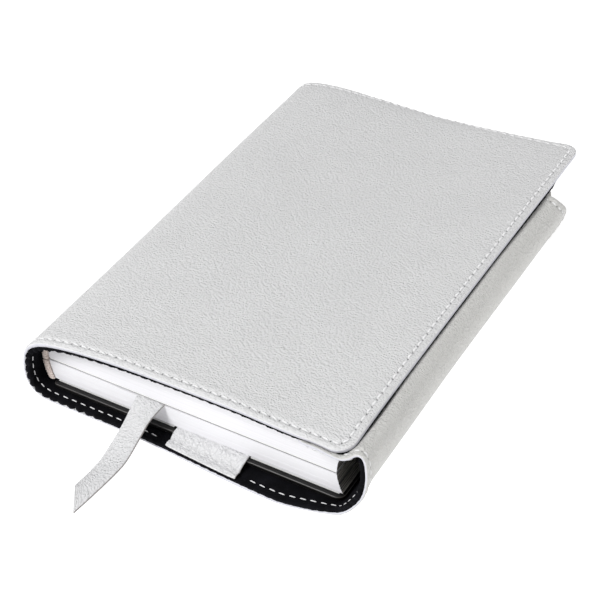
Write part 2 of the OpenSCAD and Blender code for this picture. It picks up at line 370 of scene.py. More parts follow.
def spline(pts, n):
    """Dense smooth curve through points (Catmull-Rom, centripetal-like), resampled to n by length."""
    p = np.asarray(pts, float)
    p = np.vstack([2 * p[0] - p[1], p, 2 * p[-1] - p[-2]])
    out = []
    for i in range(1, len(p) - 2):
        t = np.linspace(0, 1, 40, endpoint=False)[:, None]
        a, b, c, d = p[i - 1], p[i], p[i + 1], p[i + 2]
        la, lb, lc = (np.linalg.norm(q) ** 0.5 + 1e-9 for q in (b - a, c - b, d - c))
        m1 = lb * ((b - a) / la - (c - a) / (la + lb) + (c - b) / lb)
        m2 = lb * ((c - b) / lb - (d - b) / (lb + lc) + (d - c) / lc)
        start, leave = 2 * t**3 - 3 * t**2 + 1, t**3 - 2 * t**2 + t
        end, arrive = -2 * t**3 + 3 * t**2, t**3 - t**2
        out.append(start * b + leave * m1 + end * c + arrive * m2)
    q = np.vstack(out + [p[-2][None]])
    s = lengths(q)
    keep = np.concatenate([[True], np.diff(s) > 1e-9])
    q, s = q[keep], s[keep]
    t = np.linspace(0, s[-1], n)
    return np.stack([np.interp(t, s, q[:, k]) for k in range(q.shape[1])], 1), s[-1]


# ---------------------------------------------------------------- the cover's section
# Outer face of the whole cover in x and z: front panel, spine, back panel, flap wall, tongue.
SECTION = [
    (118, 31.0), (112, 31.0), (102, 30.98), (91, 30.95), (79, 30.9), (68, 30.85), (58, 30.75),
    (47, 30.5), (37.5, 30.1), (28, 29.35), (20.3, 28.45), (14.5, 27.4), (9.8, 26.1), (6.2, 24.4),
    (3.2, 21.9), (1.3, 18.6), (0.45, 15), (0.1, 11.8), (0.1, 8.6), (0.8, 5.4), (2.6, 2.6),
    (5.4, 0.8), (8.6, 0.1), (13, 0), (20, 0), (40, 0), (60, 0), (80, 0), (100, 0), (106, 0),
    (109.5, 0), (112, 0.02), (113.6, 0.15), (115.2, 0.8), (116.5, 2.2), (118.0, 4.8),
    (119.9, 8.9), (121.6, 12.8), (122.9, 16.2), (123.8, 19.6), (124.1, 22.6), (123.9, 25.4),
    (123.2, 27.8), (122.1, 29.4), (120.6, 30.0), (119.2, 29.5), (118.0, 28.5), (116.4, 27.3),
    (113.6, 26.2), (109, 25.5), (100, 25.1), (90, 24.78), (84.4, 24.55),
]
CURVE, LENGTH = spline(SECTION, 6000)
S_AXIS = np.linspace(0, LENGTH, len(CURVE))


def section(s):
    """x and z at length s along the section, straight on past its ends."""
    s = np.asarray(s, float)
    over = np.maximum(s - LENGTH, 0)[..., None] * (CURVE[-1] - CURVE[-9]) / (8 * S_AXIS[1])
    under = np.minimum(s, 0)[..., None] * (CURVE[8] - CURVE[0]) / (8 * S_AXIS[1])
    extra = over + under
    x = np.interp(s, S_AXIS, CURVE[:, 0]) + extra[..., 0]
    z = np.interp(s, S_AXIS, CURVE[:, 1]) + extra[..., 1]
    return x, z


def s_at(x, z):
    """Length along the section nearest to a point."""
    return S_AXIS[np.argmin((CURVE[:, 0] - x) ** 2 + (CURVE[:, 1] - z) ** 2)]


# Places along the section: the spine's top fold and middle, the back's start and middle, the fold at
# the foot of the wall, the wall's start, the ridge above it, the tongue, and where the wall is widest.
S_SPINE_TOP = s_at(6.2, 24.4)
S_SPINE = s_at(0.15, 12.8)
S_BACK0 = s_at(13, 0)
S_BACK = s_at(60, 0)
S_FOLD = s_at(110, 0)
S_WALL = s_at(118.3, 5.5)
S_RIDGE = s_at(120.6, 30.0)
S_TONGUE = s_at(104.5, 25.3)
S_WIDEST = s_at(123.3, 17.5)
# The flap's head end, as y.
FLAP_END = 155.0
# How far the front panel sinks at places across it: towards the head, and further at the head edge.
DIP_X = [0, 13, 24, 33, 45, 61, 77, 92, 107, 112.5, 118]
DIP_NEAR = [0.0, 0.9, 1.8, 2.35, 2.5, 2.6, 2.4, 1.9, 1.1, 0.8, 0.5]
DIP_EDGE = [0.3, 1.3, 1.5, 2.1, 2.9, 3.6, 2.8, 1.9, 1.1, 0.6, 0.3]


def surface(s, y):
    """Point of the cover's outer face, in book mm."""
    s, y = np.broadcast_arrays(np.asarray(s, float), np.asarray(y, float))
    x, z = section(s)
    x, z = x.copy(), z.copy()
    # the front panel sags onto the block, and its fore edge is lifted by the tongue under it
    front = 1 - smooth(s, S_SPINE_TOP, S_SPINE + 8)
    sag = np.interp(x, DIP_X, DIP_NEAR) * smooth(y, 25, 172)
    lowered = sag + np.interp(x, DIP_X, DIP_EDGE) * np.clip((y - 173) / 7, 0, 2) ** 1.6
    z -= lowered * front
    panel = 1 - smooth(s, S_SPINE_TOP - 14, S_SPINE_TOP)
    z += 0.9 * smooth(x, 92, 118) * np.sin(np.pi * np.clip(y / H, 0, 1)) * panel
    near_corner = 0.8 * smooth(x, 78, 100) * (1 - smooth(y, -2, 26))
    corner = near_corner + 0.5 * smooth(x, 106, 116) * (1 - smooth(y, 0, 14))
    z -= (corner + 0.45 * np.clip(1 - y / 4, 0, 1.3) ** 2) * panel
    x -= 0.9 * smooth(y, 50, 150) * bump(s, S_SPINE_TOP, 10)
    # the wall of the flap is drawn in at mid-length, and its free tail edge flares and stands up
    wall = smooth(s, S_FOLD + 3, S_WALL + 6) * (1 - smooth(s, S_RIDGE - 5, S_RIDGE + 3))
    x -= 0.5 * wall * bump(y, 75, 38)
    tail = np.clip(1 - y / 9, 0, 1.2) ** 2
    x += tail * wall * (0.5 + 0.9 * bump(z, 13, 6))
    x += 1.1 * tail * bump(s, S_RIDGE, 4)
    z += tail * (2.2 * bump(s, S_FOLD + 5, 5) + 1.3 * bump(s, S_RIDGE, 4))
    z -= 1.7 * smooth(y, 100, 150) * bump(s, S_RIDGE, 8)
    x -= (1.3 * smooth(y, 15, 45) + 0.7 * smooth(y, 100, 150)) * bump(s, S_RIDGE + 2, 7)
    # the tongue's tail edge is pushed up against the front panel
    z += 2.9 * smooth(s, S_RIDGE + 2, S_RIDGE + 15) * np.clip(1 - y / 6.2, 0, 1.3) ** 1.5
    return np.stack([x, y + np.zeros_like(x), z], -1)


def normal(s, y):
    d = 0.05
    ds = surface(s + d, y) - surface(s - d, y)
    dy = surface(s, y + d) - surface(s, y - d)
    return unit(np.cross(dy, ds))


def tail_edge(s):
    """Where the sheet is cut at the tail, as y."""
    at_spine = 0.8 * smooth(s, S_SPINE_TOP, S_BACK0)
    along_back = 3.1 * smooth(s, S_BACK0 + 20, S_BACK + 32)
    return at_spine - along_back + 2.6 * smooth(s, S_FOLD - 16, S_FOLD + 1)


def head_edge(s):
    """Where the sheet is cut at the head, as y."""
    return H - (H - FLAP_END) * smooth(s, S_FOLD - 10, S_WALL - 1)


def flap_tail(s):
    """Where the flap is cut at the tail, as y: the tongue is cut back towards its tip."""
    past_ridge = 0.9 * smooth(s, S_RIDGE + 1, S_RIDGE + 5)
    return tail_edge(s) - past_ridge + 6.5 * smooth(s, S_TONGUE, S_TONGUE + 9)


def flap_head(s):
    """Where the flap is cut at the head, as y: it is highest where the wall stands out furthest."""
    return FLAP_END - 6.0 * smooth(s, S_WIDEST, S_RIDGE)


def s_back(x):
    """Length along the section at a place on the flat back."""
    return S_BACK + (np.asarray(x, float) - 60)


class Edge:
    """A cut edge of the sheet in the (s, y) plane, as a dense line with its inward normals."""

    def __init__(self, pts):
        p = np.asarray(pts, float)
        d = np.linalg.norm(np.diff(p, axis=0), axis=1)
        p = p[np.concatenate([[True], d > 1e-6])]
        self.a = lengths(p)
        self.p = p
        t = unit(np.gradient(p, self.a, axis=0))
        self.n = np.stack([-t[:, 1], t[:, 0]], 1)
        self.seam_a = lengths(self.at(self.a, SEAM))

    def at(self, a, e):
        """(s, y) at length a along the cut and inset e."""
        a, e = np.broadcast_arrays(np.asarray(a, float), np.asarray(e, float))
        c = [np.interp(a, self.a, self.p[:, k]) for k in (0, 1)]
        n = [np.interp(a, self.a, self.n[:, k]) for k in (0, 1)]
        l = np.hypot(*n)
        return np.stack([c[0] + e * n[0] / l, c[1] + e * n[1] / l], -1)

    def steps(self):
        """Places along the cut, the phase of each (whole at a needle hole), and the pitch."""
        total = self.seam_a[-1]
        count = max(1, round(total / PITCH))
        k = np.arange(0, count * PER_PITCH + 1) / PER_PITCH
        return np.interp(k * total / count, self.seam_a, self.a), k, total / count


def rounded_end(s_end, s_in, y0, y1, r, direction):
    """Cut edge round one end of the sheet: along one edge, round two corners, back along the other."""
    if direction < 0:  # the end at low s: along the head first
        first, last = (s_in, y1), (s_in, y0)
        corners = ((y1 - r, 90), (y0 + r, 180))
    else:
        first, last = (s_in, y0), (s_in, y1)
        corners = ((y0 + r, -90), (y1 - r, 0))
    line = [first]
    for y, angle in corners:
        a = np.radians(np.linspace(angle, angle + 90, 28))
        line += np.stack([s_end - direction * r + r * np.cos(a), y + r * np.sin(a)], 1).tolist()
    return line + [last]


# Distances from the cut edge of the fine mesh's lines, its columns to a stitch, and the gap to the
# coarse middle.
INSETS = [0, 0.08, 0.22, 0.45, 0.75, 1.1, 1.45, 1.8, 2.1, 2.35, 2.6, 2.85, 3.1, 3.4, 3.9, 4.6, 5.6]
PER_PITCH = 8
GAP = 2.5


def hole(e, k):
    """1 at a needle hole, drawn out at a slant, and 0 half way along a stitch."""
    along = (k - np.round(k)) * PITCH
    return np.exp(-(((along + 0.55 * (e - SEAM)) / 0.40) ** 2) - ((e - SEAM) / 0.6) ** 2)


def skived(s):
    """Thickness pared away from the leather at the cut edge: at the spine, the back and the flap."""
    low = smooth(s, S_SPINE_TOP - 4, S_SPINE) * (1 - smooth(s, S_BACK0 + 30, S_BACK + 14))
    return 0.5 * low + 0.6 * smooth(s, S_BACK + 20, S_FOLD)


def rounding(e, radius):
    """How far a face falls away towards a rounded cut edge."""
    return 0.3 * (1 - np.sqrt(np.clip(1 - np.clip(1 - e / radius, 0, 1) ** 2, 0, 1)))


# The four faces of the sheet, as heights above the cover's outer face: e is the distance from the cut
# edge, k the phase along the stitches and s the length along the section.
def leather_outer(e, k, s):
    seam = -0.30 * bump(e, SEAM, 0.45) - 0.4 * hole(e, k)
    puff = 0.28 * bump(e, 1.2, 0.65) * (0.8 - 0.3 * np.cos(2 * np.pi * k))
    return seam + (puff + 0.12 * bump(e, SEAM + 1.6, 0.9)) - rounding(e, 0.45)


def leather_inner(e, k, s):
    return -LEATHER + skived(s) * np.clip(1 - e / 2.2, 0, 1)


def lining_outer(e, k, s):
    return -LEATHER - 0.03 + skived(s) * np.clip(1 - e / 2.2, 0, 1)


def lining_inner(e, k, s):
    x = section(s)[0]
    front = 1 - smooth(s, S_SPINE_TOP, S_SPINE)
    near_spine = 0.45 * (1 - smooth(x, 22, 70))
    near_corner = 0.4 * smooth(x, 96, 104) * (1 - smooth(x, 110, 116))
    thick = 0.35 + front * (0.45 + near_spine - near_corner)
    ragged = 0.8 - (1 - front) * 0.3 * np.cos(2 * np.pi * k) + 0.4 * front * wobble(5.3 * k, 1.0)
    roll = -thick * bump(e, 0.5, 0.9) * ragged
    return -SKIN + roll + 0.22 * bump(e, SEAM, 0.5) + 0.15 * hole(e, k) + rounding(e, 0.5)


def zip_near(P, a, b):
    """Triangles between two lines of vertices, choosing the shorter diagonal each time."""
    faces, i, j = [], 0, 0
    while i < len(a) - 1 or j < len(b) - 1:
        if j == len(b) - 1:
            step = True
        elif i == len(a) - 1:
            step = False
        else:
            step = np.linalg.norm(P[a[i + 1]] - P[b[j]]) <= np.linalg.norm(P[a[i]] - P[b[j + 1]])
        if step:
            faces.append((a[i], a[i + 1], b[j]))
            i += 1
        else:
            faces.append((a[i], b[j + 1], b[j]))
            j += 1
    return faces


class Plan:
    """One zone of the sheet as a flat mesh in (s, y): fine strips along its cut edges, coarse inside."""

    def __init__(self, s0, s1, kind, r=10.0):
        self.s0, self.s1, self.kind = s0, s1, kind
        self.pts, self.e, self.k, self.faces = [], [], [], []
        self.edges, self.inner_rows = [], []
        deep = INSETS[-1]
        if kind == "start":
            run = np.linspace(S_SPINE_TOP - 5, s1, 80)
            tail = np.stack([run, tail_edge(run)], 1).tolist()
            self._strip(rounded_end(s0, s1, 0.0, H, r, -1)[:-1] + tail)
            s = self._columns(s0 + deep + GAP, s1)
            grid = self._grid(s, tail_edge(s) + deep + GAP, np.full_like(s, H - deep - GAP))
            self._zip(0, grid[::-1, -1], grid[0, -2::-1], grid[1:, 0])
        elif kind == "middle":
            run = np.linspace(s0, s1, 240)
            self._strip(np.stack([run, tail_edge(run)], 1))
            self._strip(np.stack([run[::-1], head_edge(run[::-1])], 1))
            s = self._columns(s0, s1)
            grid = self._grid(s, tail_edge(s) + deep + GAP, head_edge(s) - deep - GAP)
            self._zip(0, grid[:, 0])
            self._zip(1, grid[::-1, -1])
        else:
            run = np.linspace(s0, s1 - r, 160)[:-1]
            back = np.linspace(s1 - r, s0, 160)[1:]
            line = np.stack([run, flap_tail(run)], 1).tolist()
            line += rounded_end(s1, s0, flap_tail(s1), flap_head(s1), r, 1)[1:-1]
            line += np.stack([back, flap_head(back)], 1).tolist()
            self._strip(line)
            s = self._columns(s0, s1 - deep - GAP)
            grid = self._grid(s, flap_tail(s) + deep + GAP, flap_head(s) - deep - GAP)
            self._zip(0, grid[:, 0], grid[-1, 1:], grid[-2::-1, -1])
        self.pts = np.array(self.pts)
        self.e = np.array(self.e)
        self.k = np.array(self.k)

    def _columns(self, a, b):
        """Places along the section, closer where it bends."""
        s = [a]
        while s[-1] < b - 1e-6:
            x = section(s[-1])[0]
            s.append(s[-1] + (1.3 if x < 14 or x > 107 or s[-1] > S_FOLD else 4.5))
        s = np.array(s)
        return a + (s - a) * (b - a) / (s[-1] - a)

    def _add(self, pts, e, k):
        first = len(self.pts)
        self.pts.extend(np.asarray(pts).tolist())
        self.e.extend(np.asarray(e, float).tolist())
        self.k.extend(np.asarray(k, float).tolist())
        return list(range(first, first + len(pts)))

    def _strip(self, line):
        """The fine lines along one cut edge."""
        edge = Edge(line)
        a, k, pitch = edge.steps()
        rows = [self._add(edge.at(a, e), np.full(len(a), e), k) for e in INSETS]
        for lo, hi in zip(rows, rows[1:]):
            self.faces += [(lo[i], lo[i + 1], hi[i + 1], hi[i]) for i in range(len(a) - 1)]
        self.inner_rows.append(rows[-1])
        self.edges.append((edge, pitch))

    def _grid(self, s, tail, head):
        """The coarse middle: one row of points for each s, from tail to head."""
        n_y = 34
        far, between = np.full(n_y + 1, 20.0), np.full(n_y + 1, 0.5)
        ids = np.empty((len(s), n_y + 1), int)
        for i, v in enumerate(s):
            ys = np.linspace(tail[i], head[i], n_y + 1)
            ids[i] = self._add(np.stack([np.full(n_y + 1, v), ys], 1), far, between)
        for i in range(len(s) - 1):
            for j in range(n_y):
                self.faces.append((ids[i, j], ids[i + 1, j], ids[i + 1, j + 1], ids[i, j + 1]))
        return ids

    def _zip(self, strip, *parts):
        """Joins a strip's inner row to the middle's border, given in parts."""
        self.faces += zip_near(np.array(self.pts), self.inner_rows[strip], np.concatenate(parts))


def sheet_mesh(name, plan, top, bottom, mat, scallop=None, edge_mat=None):
    """Closed solid between two offsets of the cover's outer face over a plan."""
    sy = plan.pts.copy()
    if scallop is not None:
        sy = sy + scallop(plan)
    base = surface(sy[:, 0], sy[:, 1])
    n = normal(sy[:, 0], sy[:, 1])
    up = base + n * top(plan.e, plan.k, sy[:, 0])[:, None]
    down = base + n * bottom(plan.e, plan.k, sy[:, 0])[:, None]
    count = len(sy)
    faces = plan.faces
    used = dict.fromkeys((f[i], f[(i + 1) % len(f)]) for f in faces for i in range(len(f)))
    rim = [(a, b) for (a, b) in used if (b, a) not in used]
    all_faces = [tuple(f) for f in faces] + [tuple(count + i for i in reversed(f)) for f in faces]
    all_faces += [(b, a, count + a, count + b) for a, b in rim]
    verts = row(np.vstack([up, down]))
    uv = np.vstack([sy, sy]) * MM
    # the faces where two zones meet are flat and sharp
    sharp = set()
    s = plan.pts[:, 0]
    cut = set(np.flatnonzero((abs(s - plan.s0) < 1e-6) | (abs(s - plan.s1) < 1e-6)).tolist())
    for a, b in rim:
        if a in cut and b in cut:
            sharp |= {frozenset((a, b)), frozenset((count + a, count + b))}
    o = mesh_object(name, verts, all_faces, mat, uv, sharp)
    # mask of the needle holes, for the shadow painted in them
    hole_shadow = hole(plan.e, plan.k)
    layer = o.data.attributes.new("needle_hole_shadow", "FLOAT", "POINT")
    layer.data.foreach_set("value", np.concatenate([hole_shadow, 0 * hole_shadow]).astype(np.float32))
    if edge_mat is not None:
        o.data.materials.append(edge_mat)
        for f in o.data.polygons[2 * len(faces):]:
            f.material_index = 1
    finish_mesh(o)
    return o


def tube(path, across, up, rx, rz, sides=8, tips=(0.35, 0.7, 1.0)):
    """Closed tube along a short path, with narrowing ends: vertices and faces."""
    n = len(path)
    scale = np.ones(n)
    for i, t in enumerate(tips):
        scale[i] = min(scale[i], t)
        scale[-1 - i] = min(scale[-1 - i], t)
    ang = np.linspace(0, 2 * np.pi, sides, endpoint=False)
    verts = []
    for p, a, u, q in zip(path, across, up, scale):
        verts += [p + a * rx * q * math.cos(t) + u * rz * q * math.sin(t) for t in ang]
    faces = []
    for i in range(n - 1):
        for j in range(sides):
            k = (j + 1) % sides
            faces.append((i * sides + j, i * sides + k, (i + 1) * sides + k, (i + 1) * sides + j))
    faces.append(tuple(reversed(range(sides))))
    faces.append(tuple((n - 1) * sides + j for j in range(sides)))
    return verts, faces


class Thread:
    """Short tubes of thread, collected into one mesh."""

    def __init__(self):
        self.verts, self.faces, self.uv = [], [], []

    def add(self, stitch, number):
        """Adds one tube; its number shifts the thread's twist."""
        verts, faces = stitch
        first = len(self.verts)
        self.verts += verts
        self.faces += [tuple(first + v for v in f) for f in faces]
        for r in range(len(verts)):
            self.uv.append((0.001 * ((r // 8) * 0.3 + number * 3.4), 0.001 * (r % 8) * 0.25))

    def mesh(self, name):
        return mesh_object(name, row(np.array(self.verts)), self.faces, MAT["thread"], self.uv)


def stitches(name, plan, inside, skip=None, lift=0.0):
    """A row of stitches along each cut edge of a plan, on the outer face or on the lining."""
    stitched = Thread()
    t = np.linspace(-STITCH / 2, STITCH / 2, 9)
    sink = (np.abs(t) / (STITCH / 2)) ** (8 if inside else 4)
    h = -SKIN + 0.14 + 0.3 * sink - lift if inside else -0.5 * sink + lift
    for edge, pitch in plan.edges:
        for i in range(round(edge.seam_a[-1] / pitch)):
            jitter = 0.06 * math.sin(i * 2.3) + 0.04 * math.sin(i * 5.7 + 1)
            a = np.interp((i + 0.5) * pitch + t + jitter, edge.seam_a, edge.a)
            e = SEAM + (-0.08 if inside else 0.16) * t + 0.05 * math.sin(i * 3.1)
            sy = edge.at(a, e)
            if skip is not None and skip(sy[4, 0]):
                continue
            n = normal(sy[:, 0], sy[:, 1])
            path = surface(sy[:, 0], sy[:, 1]) + n * h[:, None]
            side = unit(np.cross(unit(np.gradient(path, axis=0)), n))
            stitched.add(tube(path, side, n, *((0.21, 0.14) if inside else (0.38, 0.29))), i)
    return stitched.mesh(name)


def jagged(plan):
    """Small in-and-out of the lining's cut edge: a scallop for each stitch and a fuzzy line."""
    s, y = plan.pts.T
    x = section(s)[0]
    near = np.clip(1 - plan.e / 3.0, 0, 1) ** 2
    low = smooth(s, S_SPINE_TOP - 4, S_SPINE_TOP + 8) * (1 - smooth(s, S_BACK0 + 6, S_BACK0 + 26))
    scallops = (0.1 + 0.6 * low) * (np.abs(np.sin(np.pi * plan.k)) - 0.6)
    out = scallops + 0.14 * wobble(plan.k * 7.3, 2.0) - 0.15 * low
    # drawn in at the front's tail corner, at the tongue's tail and at the front's fore edge by the head
    out -= 1.7 * smooth(x, 101, 107) * (y < 8) * (s < S_SPINE_TOP) * (1 - smooth(x, 111.5, 115))
    tongue = 4.2 * smooth(s, S_RIDGE, S_RIDGE + 4) * (y < 20) * np.clip(1 - plan.e / 7.5, 0, 1)
    drawn_in = 1.3 * smooth(y, 152, 164) * (s < 8) * near
    outwards = np.where(y < H / 2, -1.0, 1.0)
    side = (y > 12) & (y < 140) & (plan.e < 7)
    d = np.zeros_like(plan.pts)
    d[:, 0] = np.where(side & (plan.kind == "start"), -out * near, 0) + drawn_in
    d[:, 1] = np.where(side, 0, outwards * out * near) + tongue
    return d


def under_strap(s):
    """Whether a place on the back's inside is covered by the strap."""
    return 49 < section(s)[0] < 85 and S_BACK0 < s < S_FOLD


def cover():
    zones = [
        ("front", Plan(0, S_SPINE, "start", 6.0), "white_leather", "leather",
         ("spine", "front_cover", (0.5, 0, 17.5), (9.5, 0, 26.4)),
         ["front_leather"], ["front_lining"], ["front_seam"]),
        ("spine", Plan(S_SPINE, S_BACK, "middle"), "white_leather", "leather",
         ("root", "spine", (10, 0, 0.2), (0.5, 0, 9.0)), ["spine_leather"], ["spine_lining"], []),
        ("back", Plan(S_BACK, S_WALL, "middle"), "white_leather", "leather",
         ("root", "flap_wall", (109.5, 0, 0), (119.5, 0, 3.8)),
         ["back_leather"], ["back_lining"], ["back_seam"]),
        ("flap", Plan(S_WALL, LENGTH, "end", 12.0), "flap_leather", "flap",
         ("flap_wall", "flap_tongue", (124.9, 0, 19.5), (118.5, 0, 28.3)),
         ["flap_wall_leather", "flap_tongue_leather"],
         ["flap_wall_lining", "flap_tongue_lining"], ["flap_seam"]),
    ]
    for name, plan, slot, mat, (a, b, p, q), outer, inner, seam in zones:
        o = sheet_mesh(name + "_leather_skin", plan, leather_outer, leather_inner, MAT[mat],
                       edge_mat=MAT["cut_edge"])
        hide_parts(*outer)
        l = sheet_mesh(name + "_suede_skin", plan, lining_outer, lining_inner, MAT["suede"], jagged)
        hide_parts(*inner)
        t = stitches(name + "_outside_stitches", plan, False, lift=-0.2 if name == "flap" else 0.0)
        u = stitches(name + "_inside_stitches", plan, True, under_strap)
        if seam:
            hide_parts(*seam)
        for piece in (o, l, t, u):
            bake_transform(piece)


# ---------------------------------------------------------------- book block
PAGES_Z, LOWER_TOP, UPPER_Z, UPPER_TOP = 5.0, 12.2, 13.3, 21.9
BLOCK_MID = (PAGES_Z + UPPER_TOP) / 2
PAGE_Y0, PAGE_Y1 = 7.0, 173.0
BLOCK_X0, BLOCK_X1, BLOCK_R, HOLLOW_R = 5.6, 111.0, 21.0, 17.5


def block_x(z):
    d = np.asarray(z, float) - BLOCK_MID
    return BLOCK_X0 + BLOCK_R - np.sqrt(BLOCK_R**2 - d**2), BLOCK_X1 + HOLLOW_R - np.sqrt(HOLLOW_R**2 - d**2)


def stacked(rings):
    """Faces of a closed stack of rings of vertices."""
    faces = []
    for lo, hi in zip(rings, rings[1:]):
        m = len(lo)
        faces += [(lo[i], lo[(i + 1) % m], hi[(i + 1) % m], hi[i]) for i in range(m)]
    return faces + [tuple(reversed(rings[0])), tuple(rings[-1])]


def block_half(name, z0, z1, seed, dip=None):
    """Half of the page block as a stack of thin gatherings whose edges step in and out a little."""
    count = int(round((z1 - z0) / 0.3))
    levels = np.linspace(z0, z1, count + 1)
    n_y, n_x = 20, 18
    across = np.linspace(0, 1, n_x, endpoint=False)
    along = np.linspace(0, 1, n_y, endpoint=False)
    verts, rings = [], []
    for i in range(count):
        for z in (levels[i], levels[i + 1] - 0.02):
            xa, xb = block_x(z)
            j = 0.03 * math.sin(i * 12.9 + seed) + 0.02 * math.sin(i * 7.1 + 2 * seed)
            g = 0.07 * math.sin(i * 4.3 + seed) + 0.04 * math.sin(i * 9.7 + seed)
            xa, xb, ya, yb = xa - 0.3 * j, xb + g, PAGE_Y0 - j, PAGE_Y1 + j
            ring = [(xa + (xb - xa) * t, ya) for t in across]
            ring += [(xb + 0.03 * math.sin(12 * t + i), ya + (yb - ya) * t) for t in along]
            ring += [(xb + (xa - xb) * t, yb) for t in across]
            ring += [(xa, yb + (ya - yb) * t) for t in along]
            part = ((z - z0) / (z1 - z0)) ** 2
            first = len(verts)
            verts += [(x, y, z + (dip(x, y) * part if dip else 0)) for x, y in ring]
            rings.append(list(range(first, first + len(ring))))
    o = mesh_object(name, row(verts), stacked(rings), MAT["paper"], smooth_all=False)
    # the fore-edge faces take the darker paper, as painted shade
    o.data.materials.append(MAT["fore_edge"])
    for f in o.data.polygons[:-2]:
        if n_x <= f.index % len(ring) < n_x + n_y:
            f.material_index = 1
    return o


def pressed(x, y):
    """How far the ribbon presses down the pages beside it."""
    if y >= 120:
        return 0
    return -0.85 * math.exp(-max(0, abs(x - 45) - 5.2) ** 2 / 30) * math.exp(-max(0, y - 62) / 14)


def block():
    lower = block_half("lower_page_block", PAGES_Z, LOWER_TOP, 1.0, pressed)
    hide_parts("lower_pages")
    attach(lower, "root")
    upper = block_half("upper_page_block", UPPER_Z, UPPER_TOP, 4.0)
    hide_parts("upper_pages")
    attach(upper, "upper_pages_body")
    for i in (1, 2, 3):
        leaf(i, 12.5 + 0.265 * (i - 1))
    for n in ("flyleaf", "back_endpaper"):
        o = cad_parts[n]
        o.data.materials.clear()
        o.data.materials.append(MAT["leaf"])


def leaf(number, z):
    """One loose leaf, a little wavy, with slightly uneven edges."""
    n_x, n_y = 24, 36
    verts = []
    for side in (0, 1):
        for i in range(n_x + 1):
            for j in range(n_y + 1):
                u, v = i / n_x, j / n_y
                x0, x1 = block_x(z)
                x = x0 + 0.4 + (x1 - x0 - 0.5 + 0.06 * math.sin(9 * v + number)) * u
                y = PAGE_Y0 + 0.03 * math.sin(5 * u + number) + (PAGE_Y1 - PAGE_Y0) * v
                wave = 0.02 * math.sin(8 * v + 2 * number) * math.sin(6 * u)
                verts.append((x, y, z + 0.25 * side + wave))
    step, layer = n_y + 1, (n_x + 1) * (n_y + 1)
    faces = []
    for i in range(n_x):
        for j in range(n_y):
            a = i * step + j
            faces.append((a, a + 1, a + step + 1, a + step))
            faces.append((layer + a, layer + a + step, layer + a + step + 1, layer + a + 1))
        for a in (i * step, i * step + n_y):
            faces.append((a, a + step, layer + a + step, layer + a))
    for j in range(n_y):
        for a in (j, n_x * step + j):
            faces.append((a, layer + a, layer + a + 1, a + 1))
    o = mesh_object("loose_leaf_%d" % number, row(verts), faces, MAT["leaf"], smooth_all=False)
    if number == 1:
        o.data.materials.append(MAT["leaf_edge"])
        for f in o.data.polygons:
            f.material_index = int(abs(f.normal.z) < 0.5)
    finish_mesh(o)
    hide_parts("leaf_%d" % number)
    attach(o, "leaf_%d_body" % number)


def plate(x0, x1, z0):
    """A board: a flat plate with rounded fore corners and rolled edges; with the faces of its top rim."""
    y0, y1 = BOARD_Y
    profile = []
    for a in np.linspace(0, math.pi / 2, 5):
        profile.append((BOARD_BEVEL * (1 - math.sin(a)), BOARD_BEVEL * (1 - math.cos(a))))
    top = [(i, z0 + BOARD_THICK - d) for i, d in reversed(profile)]
    verts, rings = [], []
    for inset, z in [(i, z0 + d) for i, d in profile] + top:
        xa, xb, ya, yb = x0 + inset, x1 - inset, y0 + inset, y1 - inset
        radii = (SPINE_CORNER, FORE_CORNER, FORE_CORNER, SPINE_CORNER)
        first = len(verts)
        for i, (cx, cy) in enumerate(((xa, ya), (xb, ya), (xb, yb), (xa, yb))):
            c = max(0.05, radii[i] - inset)
            ox = cx + c if i in (0, 3) else cx - c
            oy = cy + c if i in (0, 1) else cy - c
            for a in np.linspace(180 + 90 * i, 270 + 90 * i, 8):
                verts.append((ox + c * math.cos(math.radians(a)), oy + c * math.sin(math.radians(a)), z))
        rings.append(list(range(first, len(verts))))
    ring = len(rings[0])
    return verts, stacked(rings), range(6 * ring, 8 * ring)


def paint_rim_highlight(o, faces):
    """Paints a lighter colour on some faces, as a highlight."""
    o.data.materials.append(MAT["worn_edge"])
    for i in faces:
        o.data.polygons[i].material_index = 1


# The boards: their tail and head edges, thickness, rolled edge and corners, the back board's ends and
# foot, and where the front board starts, its length and how it leans.
BOARD_Y, BOARD_THICK, BOARD_BEVEL = (5.2, 174.8), 1.6, 0.35
FORE_CORNER, SPINE_CORNER = 3, 1.2
BACK_BOARD_X, BACK_BOARD_Z = (7.6, 114), 2.6
BOARD_X, BOARD_Z, BOARD_LENGTH, BOARD_TILT = 12, 22.35, 101.5, math.radians(2.1)


def tilt(verts):
    """Puts the front board, built from the origin, in its place and lean."""
    c, s = math.cos(BOARD_TILT), math.sin(BOARD_TILT)
    v = np.asarray(verts, float)
    return np.stack([BOARD_X + v[:, 0] * c - v[:, 2] * s, v[:, 1], BOARD_Z + v[:, 0] * s + v[:, 2] * c], 1)


def boards():
    v, f, worn = plate(*BACK_BOARD_X, BACK_BOARD_Z)
    o = mesh_object("back_board_cover", row(v), f, MAT["board"])
    paint_rim_highlight(o, worn)
    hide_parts("back_board")
    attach(o, "root")
    v, f, worn = plate(0, BOARD_LENGTH, 0)
    o = mesh_object("front_board_cover", row(tilt(v)), f, MAT["board"])
    paint_rim_highlight(o, worn)
    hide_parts("front_board")
    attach(o, "front_cover")


